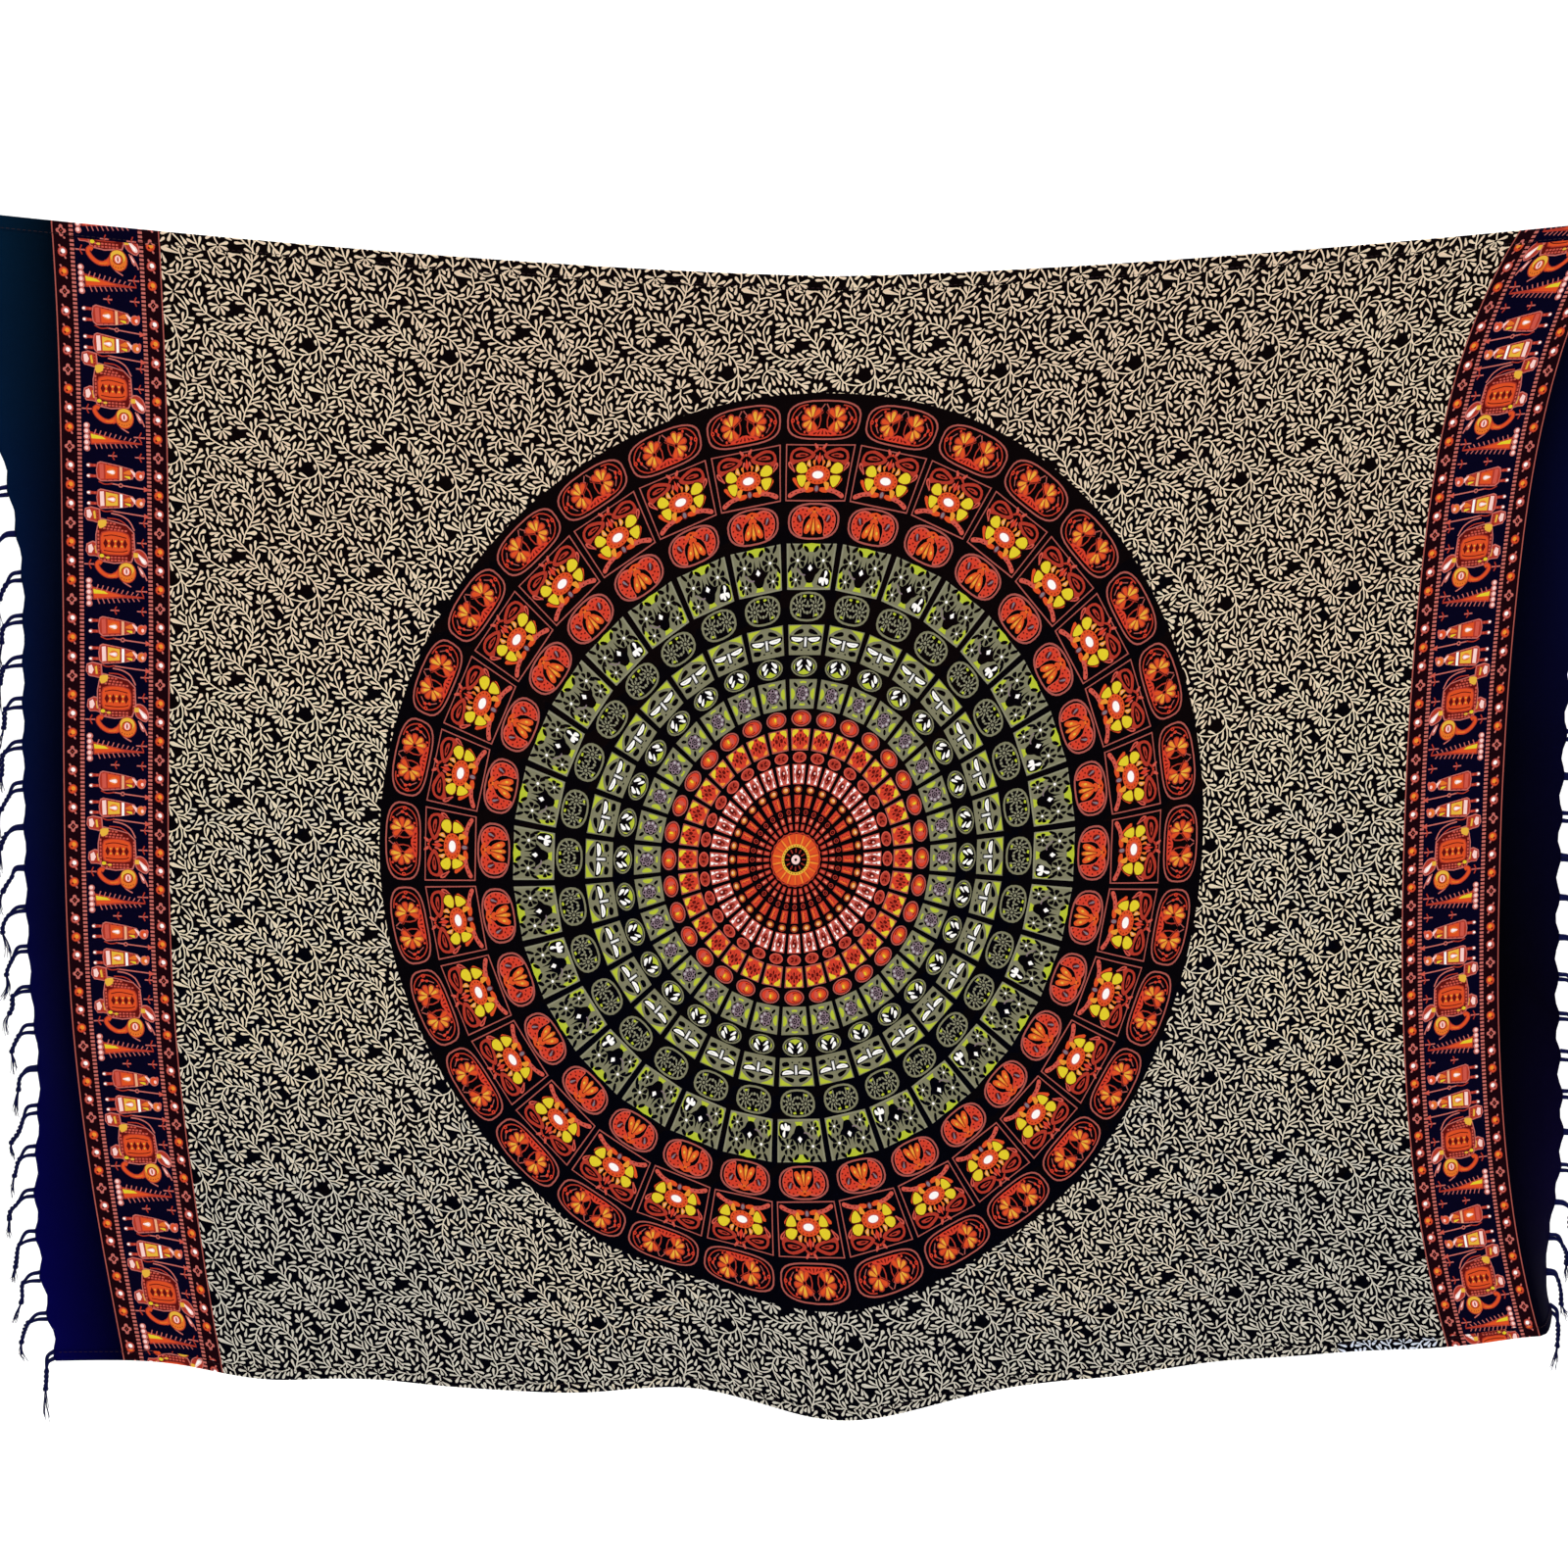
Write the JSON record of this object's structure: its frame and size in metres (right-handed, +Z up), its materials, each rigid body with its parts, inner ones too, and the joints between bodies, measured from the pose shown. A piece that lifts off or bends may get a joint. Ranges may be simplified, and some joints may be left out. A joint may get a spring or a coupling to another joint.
{
  "type": "tapestry wall hanging",
  "caption": "Printed cotton wall hanging with a round medallion, figured side borders, hemmed long edges and knotted fringe, hung by its top corners.",
  "frame": {"origin": "middle of the straight line through the two top corners, where the cloth is held up", "axes": "+X to the right along the hanging line, +Y into the wall, +Z up; the printed face looks along -Y"},
  "size_m": [1.7072, 0.0652, 1.2199],
  "materials": {
    "printed_cloth": "matte printed plain-weave cotton",
    "hem_cloth": "matte printed plain-weave cotton, doubled and stitched",
    "navy_thread": "matte twisted cotton thread, dyed navy"
  },
  "bodies": {
    "hanging_edge": {"top_hem": "hem_cloth"},
    "cloth": {"cloth_panel": "printed_cloth", "bottom_hem": "hem_cloth"},
    "left_tassel_01": {"left_tassel_01": "navy_thread"},
    "left_tassel_02": {"left_tassel_02": "navy_thread"},
    "left_tassel_03": {"left_tassel_03": "navy_thread"},
    "left_tassel_04": {"left_tassel_04": "navy_thread"},
    "left_tassel_05": {"left_tassel_05": "navy_thread"},
    "left_tassel_06": {"left_tassel_06": "navy_thread"},
    "left_tassel_07": {"left_tassel_07": "navy_thread"},
    "left_tassel_08": {"left_tassel_08": "navy_thread"},
    "left_tassel_09": {"left_tassel_09": "navy_thread"},
    "left_tassel_10": {"left_tassel_10": "navy_thread"},
    "left_tassel_11": {"left_tassel_11": "navy_thread"},
    "left_tassel_12": {"left_tassel_12": "navy_thread"},
    "left_tassel_13": {"left_tassel_13": "navy_thread"},
    "left_tassel_14": {"left_tassel_14": "navy_thread"},
    "left_tassel_15": {"left_tassel_15": "navy_thread"},
    "left_tassel_16": {"left_tassel_16": "navy_thread"},
    "left_tassel_17": {"left_tassel_17": "navy_thread"},
    "left_tassel_18": {"left_tassel_18": "navy_thread"},
    "left_tassel_19": {"left_tassel_19": "navy_thread"},
    "left_tassel_20": {"left_tassel_20": "navy_thread"},
    "left_tassel_21": {"left_tassel_21": "navy_thread"},
    "left_tassel_22": {"left_tassel_22": "navy_thread"},
    "left_tassel_23": {"left_tassel_23": "navy_thread"},
    "left_tassel_24": {"left_tassel_24": "navy_thread"},
    "left_tassel_25": {"left_tassel_25": "navy_thread"},
    "left_tassel_26": {"left_tassel_26": "navy_thread"},
    "left_tassel_27": {"left_tassel_27": "navy_thread"},
    "left_tassel_28": {"left_tassel_28": "navy_thread"},
    "right_tassel_01": {"right_tassel_01": "navy_thread"},
    "right_tassel_02": {"right_tassel_02": "navy_thread"},
    "right_tassel_03": {"right_tassel_03": "navy_thread"},
    "right_tassel_04": {"right_tassel_04": "navy_thread"},
    "right_tassel_05": {"right_tassel_05": "navy_thread"},
    "right_tassel_06": {"right_tassel_06": "navy_thread"},
    "right_tassel_07": {"right_tassel_07": "navy_thread"},
    "right_tassel_08": {"right_tassel_08": "navy_thread"},
    "right_tassel_09": {"right_tassel_09": "navy_thread"},
    "right_tassel_10": {"right_tassel_10": "navy_thread"},
    "right_tassel_11": {"right_tassel_11": "navy_thread"},
    "right_tassel_12": {"right_tassel_12": "navy_thread"},
    "right_tassel_13": {"right_tassel_13": "navy_thread"},
    "right_tassel_14": {"right_tassel_14": "navy_thread"},
    "right_tassel_15": {"right_tassel_15": "navy_thread"},
    "right_tassel_16": {"right_tassel_16": "navy_thread"},
    "right_tassel_17": {"right_tassel_17": "navy_thread"},
    "right_tassel_18": {"right_tassel_18": "navy_thread"},
    "right_tassel_19": {"right_tassel_19": "navy_thread"},
    "right_tassel_20": {"right_tassel_20": "navy_thread"},
    "right_tassel_21": {"right_tassel_21": "navy_thread"},
    "right_tassel_22": {"right_tassel_22": "navy_thread"},
    "right_tassel_23": {"right_tassel_23": "navy_thread"},
    "right_tassel_24": {"right_tassel_24": "navy_thread"},
    "right_tassel_25": {"right_tassel_25": "navy_thread"},
    "right_tassel_26": {"right_tassel_26": "navy_thread"},
    "right_tassel_27": {"right_tassel_27": "navy_thread"},
    "right_tassel_28": {"right_tassel_28": "navy_thread"}
  },
  "joints": [
    {"name": "cloth_swing", "type": "hinge", "parent": "hanging_edge", "child": "cloth", "pos_m": [0, 0, -0.014], "axis": [-1, 0, 0], "range_deg": [0, 30]},
    {"name": "left_tassel_01_swing", "type": "hinge", "parent": "hanging_edge", "child": "left_tassel_01", "pos_m": [-0.82127, -0.00004, -0.01014], "axis": [-1, 0, 0], "range_deg": [-15, 60]},
    {"name": "left_tassel_02_swing", "type": "hinge", "parent": "cloth", "child": "left_tassel_02", "pos_m": [-0.82075, -0.00089, -0.05226], "axis": [-1, 0, 0], "range_deg": [-15, 60]},
    {"name": "left_tassel_03_swing", "type": "hinge", "parent": "cloth", "child": "left_tassel_03", "pos_m": [-0.82036, -0.00268, -0.09435], "axis": [-1, 0, 0], "range_deg": [-15, 60]},
    {"name": "left_tassel_04_swing", "type": "hinge", "parent": "cloth", "child": "left_tassel_04", "pos_m": [-0.8201, -0.00218, -0.13641], "axis": [-1, 0, 0], "range_deg": [-15, 60]},
    {"name": "left_tassel_05_swing", "type": "hinge", "parent": "cloth", "child": "left_tassel_05", "pos_m": [-0.81942, 0.00208, -0.17849], "axis": [-1, 0, 0], "range_deg": [-15, 60]},
    {"name": "left_tassel_06_swing", "type": "hinge", "parent": "cloth", "child": "left_tassel_06", "pos_m": [-0.81756, 0.00838, -0.22059], "axis": [-1, 0, 0], "range_deg": [-15, 60]},
    {"name": "left_tassel_07_swing", "type": "hinge", "parent": "cloth", "child": "left_tassel_07", "pos_m": [-0.81446, 0.01496, -0.26266], "axis": [-1, 0, 0], "range_deg": [-15, 60]},
    {"name": "left_tassel_08_swing", "type": "hinge", "parent": "cloth", "child": "left_tassel_08", "pos_m": [-0.81116, 0.02038, -0.30466], "axis": [-1, 0, 0], "range_deg": [-15, 60]},
    {"name": "left_tassel_09_swing", "type": "hinge", "parent": "cloth", "child": "left_tassel_09", "pos_m": [-0.80946, 0.02378, -0.34661], "axis": [-1, 0, 0], "range_deg": [-15, 60]},
    {"name": "left_tassel_10_swing", "type": "hinge", "parent": "cloth", "child": "left_tassel_10", "pos_m": [-0.81078, 0.02439, -0.38861], "axis": [-1, 0, 0], "range_deg": [-15, 60]},
    {"name": "left_tassel_11_swing", "type": "hinge", "parent": "cloth", "child": "left_tassel_11", "pos_m": [-0.81289, 0.02441, -0.43069], "axis": [-1, 0, 0], "range_deg": [-15, 60]},
    {"name": "left_tassel_12_swing", "type": "hinge", "parent": "cloth", "child": "left_tassel_12", "pos_m": [-0.81514, 0.02447, -0.47277], "axis": [-1, 0, 0], "range_deg": [-15, 60]},
    {"name": "left_tassel_13_swing", "type": "hinge", "parent": "cloth", "child": "left_tassel_13", "pos_m": [-0.81742, 0.02455, -0.51485], "axis": [-1, 0, 0], "range_deg": [-15, 60]},
    {"name": "left_tassel_14_swing", "type": "hinge", "parent": "cloth", "child": "left_tassel_14", "pos_m": [-0.81961, 0.02466, -0.55694], "axis": [-1, 0, 0], "range_deg": [-15, 60]},
    {"name": "left_tassel_15_swing", "type": "hinge", "parent": "cloth", "child": "left_tassel_15", "pos_m": [-0.82156, 0.02479, -0.59903], "axis": [-1, 0, 0], "range_deg": [-15, 60]},
    {"name": "left_tassel_16_swing", "type": "hinge", "parent": "cloth", "child": "left_tassel_16", "pos_m": [-0.82316, 0.02493, -0.64112], "axis": [-1, 0, 0], "range_deg": [-15, 60]},
    {"name": "left_tassel_17_swing", "type": "hinge", "parent": "cloth", "child": "left_tassel_17", "pos_m": [-0.82428, 0.02509, -0.68321], "axis": [-1, 0, 0], "range_deg": [-15, 60]},
    {"name": "left_tassel_18_swing", "type": "hinge", "parent": "cloth", "child": "left_tassel_18", "pos_m": [-0.82481, 0.02525, -0.72529], "axis": [-1, 0, 0], "range_deg": [-15, 60]},
    {"name": "left_tassel_19_swing", "type": "hinge", "parent": "cloth", "child": "left_tassel_19", "pos_m": [-0.82465, 0.02541, -0.76736], "axis": [-1, 0, 0], "range_deg": [-15, 60]},
    {"name": "left_tassel_20_swing", "type": "hinge", "parent": "cloth", "child": "left_tassel_20", "pos_m": [-0.82374, 0.02557, -0.80942], "axis": [-1, 0, 0], "range_deg": [-15, 60]},
    {"name": "left_tassel_21_swing", "type": "hinge", "parent": "cloth", "child": "left_tassel_21", "pos_m": [-0.82259, 0.02513, -0.85148], "axis": [-1, 0, 0], "range_deg": [-15, 60]},
    {"name": "left_tassel_22_swing", "type": "hinge", "parent": "cloth", "child": "left_tassel_22", "pos_m": [-0.82355, 0.02096, -0.89356], "axis": [-1, 0, 0], "range_deg": [-15, 60]},
    {"name": "left_tassel_23_swing", "type": "hinge", "parent": "cloth", "child": "left_tassel_23", "pos_m": [-0.82502, 0.01347, -0.93566], "axis": [-1, 0, 0], "range_deg": [-15, 60]},
    {"name": "left_tassel_24_swing", "type": "hinge", "parent": "cloth", "child": "left_tassel_24", "pos_m": [-0.82502, 0.00405, -0.97774], "axis": [-1, 0, 0], "range_deg": [-15, 60]},
    {"name": "left_tassel_25_swing", "type": "hinge", "parent": "cloth", "child": "left_tassel_25", "pos_m": [-0.82262, -0.00519, -1.01979], "axis": [-1, 0, 0], "range_deg": [-15, 60]},
    {"name": "left_tassel_26_swing", "type": "hinge", "parent": "cloth", "child": "left_tassel_26", "pos_m": [-0.81821, -0.01184, -1.06181], "axis": [-1, 0, 0], "range_deg": [-15, 60]},
    {"name": "left_tassel_27_swing", "type": "hinge", "parent": "cloth", "child": "left_tassel_27", "pos_m": [-0.81288, -0.01374, -1.10382], "axis": [-1, 0, 0], "range_deg": [-15, 60]},
    {"name": "left_tassel_28_swing", "type": "hinge", "parent": "cloth", "child": "left_tassel_28", "pos_m": [-0.80943, -0.01376, -1.14582], "axis": [-1, 0, 0], "range_deg": [-15, 60]},
    {"name": "right_tassel_01_swing", "type": "hinge", "parent": "hanging_edge", "child": "right_tassel_01", "pos_m": [0.81645, 0.00017, -0.01039], "axis": [-1, 0, 0], "range_deg": [-15, 60]},
    {"name": "right_tassel_02_swing", "type": "hinge", "parent": "cloth", "child": "right_tassel_02", "pos_m": [0.79525, 0.00368, -0.05345], "axis": [-1, 0, 0], "range_deg": [-15, 60]},
    {"name": "right_tassel_03_swing", "type": "hinge", "parent": "cloth", "child": "right_tassel_03", "pos_m": [0.77854, 0.00933, -0.09568], "axis": [-1, 0, 0], "range_deg": [-15, 60]},
    {"name": "right_tassel_04_swing", "type": "hinge", "parent": "cloth", "child": "right_tassel_04", "pos_m": [0.76518, 0.01389, -0.13717], "axis": [-1, 0, 0], "range_deg": [-15, 60]},
    {"name": "right_tassel_05_swing", "type": "hinge", "parent": "cloth", "child": "right_tassel_05", "pos_m": [0.75548, 0.01443, -0.178], "axis": [-1, 0, 0], "range_deg": [-15, 60]},
    {"name": "right_tassel_06_swing", "type": "hinge", "parent": "cloth", "child": "right_tassel_06", "pos_m": [0.74864, 0.01275, -0.2184], "axis": [-1, 0, 0], "range_deg": [-15, 60]},
    {"name": "right_tassel_07_swing", "type": "hinge", "parent": "cloth", "child": "right_tassel_07", "pos_m": [0.74349, 0.01109, -0.25863], "axis": [-1, 0, 0], "range_deg": [-15, 60]},
    {"name": "right_tassel_08_swing", "type": "hinge", "parent": "cloth", "child": "right_tassel_08", "pos_m": [0.73963, 0.00968, -0.29887], "axis": [-1, 0, 0], "range_deg": [-15, 60]},
    {"name": "right_tassel_09_swing", "type": "hinge", "parent": "cloth", "child": "right_tassel_09", "pos_m": [0.73676, 0.0088, -0.33927], "axis": [-1, 0, 0], "range_deg": [-15, 60]},
    {"name": "right_tassel_10_swing", "type": "hinge", "parent": "cloth", "child": "right_tassel_10", "pos_m": [0.73467, 0.00827, -0.37999], "axis": [-1, 0, 0], "range_deg": [-15, 60]},
    {"name": "right_tassel_11_swing", "type": "hinge", "parent": "cloth", "child": "right_tassel_11", "pos_m": [0.7332, 0.00773, -0.42106], "axis": [-1, 0, 0], "range_deg": [-15, 60]},
    {"name": "right_tassel_12_swing", "type": "hinge", "parent": "cloth", "child": "right_tassel_12", "pos_m": [0.73224, 0.0072, -0.46214], "axis": [-1, 0, 0], "range_deg": [-15, 60]},
    {"name": "right_tassel_13_swing", "type": "hinge", "parent": "cloth", "child": "right_tassel_13", "pos_m": [0.73172, 0.00667, -0.5032], "axis": [-1, 0, 0], "range_deg": [-15, 60]},
    {"name": "right_tassel_14_swing", "type": "hinge", "parent": "cloth", "child": "right_tassel_14", "pos_m": [0.73161, 0.00615, -0.54425], "axis": [-1, 0, 0], "range_deg": [-15, 60]},
    {"name": "right_tassel_15_swing", "type": "hinge", "parent": "cloth", "child": "right_tassel_15", "pos_m": [0.73189, 0.00564, -0.58527], "axis": [-1, 0, 0], "range_deg": [-15, 60]},
    {"name": "right_tassel_16_swing", "type": "hinge", "parent": "cloth", "child": "right_tassel_16", "pos_m": [0.73258, 0.00515, -0.62628], "axis": [-1, 0, 0], "range_deg": [-15, 60]},
    {"name": "right_tassel_17_swing", "type": "hinge", "parent": "cloth", "child": "right_tassel_17", "pos_m": [0.7337, 0.00469, -0.66726], "axis": [-1, 0, 0], "range_deg": [-15, 60]},
    {"name": "right_tassel_18_swing", "type": "hinge", "parent": "cloth", "child": "right_tassel_18", "pos_m": [0.73529, 0.00425, -0.70822], "axis": [-1, 0, 0], "range_deg": [-15, 60]},
    {"name": "right_tassel_19_swing", "type": "hinge", "parent": "cloth", "child": "right_tassel_19", "pos_m": [0.73742, 0.00385, -0.74916], "axis": [-1, 0, 0], "range_deg": [-15, 60]},
    {"name": "right_tassel_20_swing", "type": "hinge", "parent": "cloth", "child": "right_tassel_20", "pos_m": [0.74017, 0.00347, -0.79007], "axis": [-1, 0, 0], "range_deg": [-15, 60]},
    {"name": "right_tassel_21_swing", "type": "hinge", "parent": "cloth", "child": "right_tassel_21", "pos_m": [0.7436, 0.00314, -0.83095], "axis": [-1, 0, 0], "range_deg": [-15, 60]},
    {"name": "right_tassel_22_swing", "type": "hinge", "parent": "cloth", "child": "right_tassel_22", "pos_m": [0.74784, 0.00284, -0.8718], "axis": [-1, 0, 0], "range_deg": [-15, 60]},
    {"name": "right_tassel_23_swing", "type": "hinge", "parent": "cloth", "child": "right_tassel_23", "pos_m": [0.75203, 0.00532, -0.91266], "axis": [-1, 0, 0], "range_deg": [-15, 60]},
    {"name": "right_tassel_24_swing", "type": "hinge", "parent": "cloth", "child": "right_tassel_24", "pos_m": [0.75442, 0.01322, -0.9536], "axis": [-1, 0, 0], "range_deg": [-15, 60]},
    {"name": "right_tassel_25_swing", "type": "hinge", "parent": "cloth", "child": "right_tassel_25", "pos_m": [0.75474, 0.02304, -0.99461], "axis": [-1, 0, 0], "range_deg": [-15, 60]},
    {"name": "right_tassel_26_swing", "type": "hinge", "parent": "cloth", "child": "right_tassel_26", "pos_m": [0.75416, 0.03152, -1.03565], "axis": [-1, 0, 0], "range_deg": [-15, 60]},
    {"name": "right_tassel_27_swing", "type": "hinge", "parent": "cloth", "child": "right_tassel_27", "pos_m": [0.75565, 0.03685, -1.07662], "axis": [-1, 0, 0], "range_deg": [-15, 60]},
    {"name": "right_tassel_28_swing", "type": "hinge", "parent": "cloth", "child": "right_tassel_28", "pos_m": [0.76512, 0.03889, -1.11738], "axis": [-1, 0, 0], "range_deg": [-15, 60]}
  ]
}
